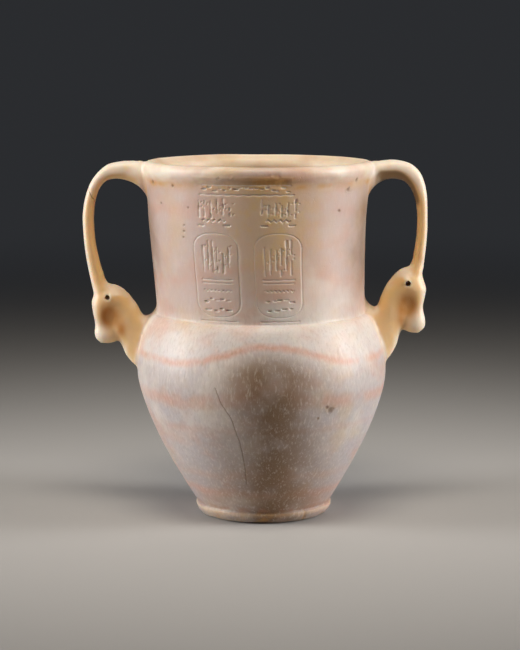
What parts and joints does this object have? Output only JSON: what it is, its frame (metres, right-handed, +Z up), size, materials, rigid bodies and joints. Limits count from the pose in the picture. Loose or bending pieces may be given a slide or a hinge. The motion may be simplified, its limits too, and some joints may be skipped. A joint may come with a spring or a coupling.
{
  "type": "two-handled canopic jar",
  "caption": "Open carved travertine jar with a flared neck, a stepped shoulder, a small foot and looped handles that end in animal heads.",
  "frame": {"origin": "middle of the flat underside", "axes": "+Z up along the turned axis, +X to the right handle as seen from the carved front, the carved front faces -Y"},
  "size_m": [0.2908, 0.2128, 0.3005],
  "materials": {
    "travertine": "honed banded travertine, pinkish cream, amber where it is thin, slightly translucent"
  },
  "bodies": {
    "root": {"jar": "travertine"}
  },
  "joints": []
}
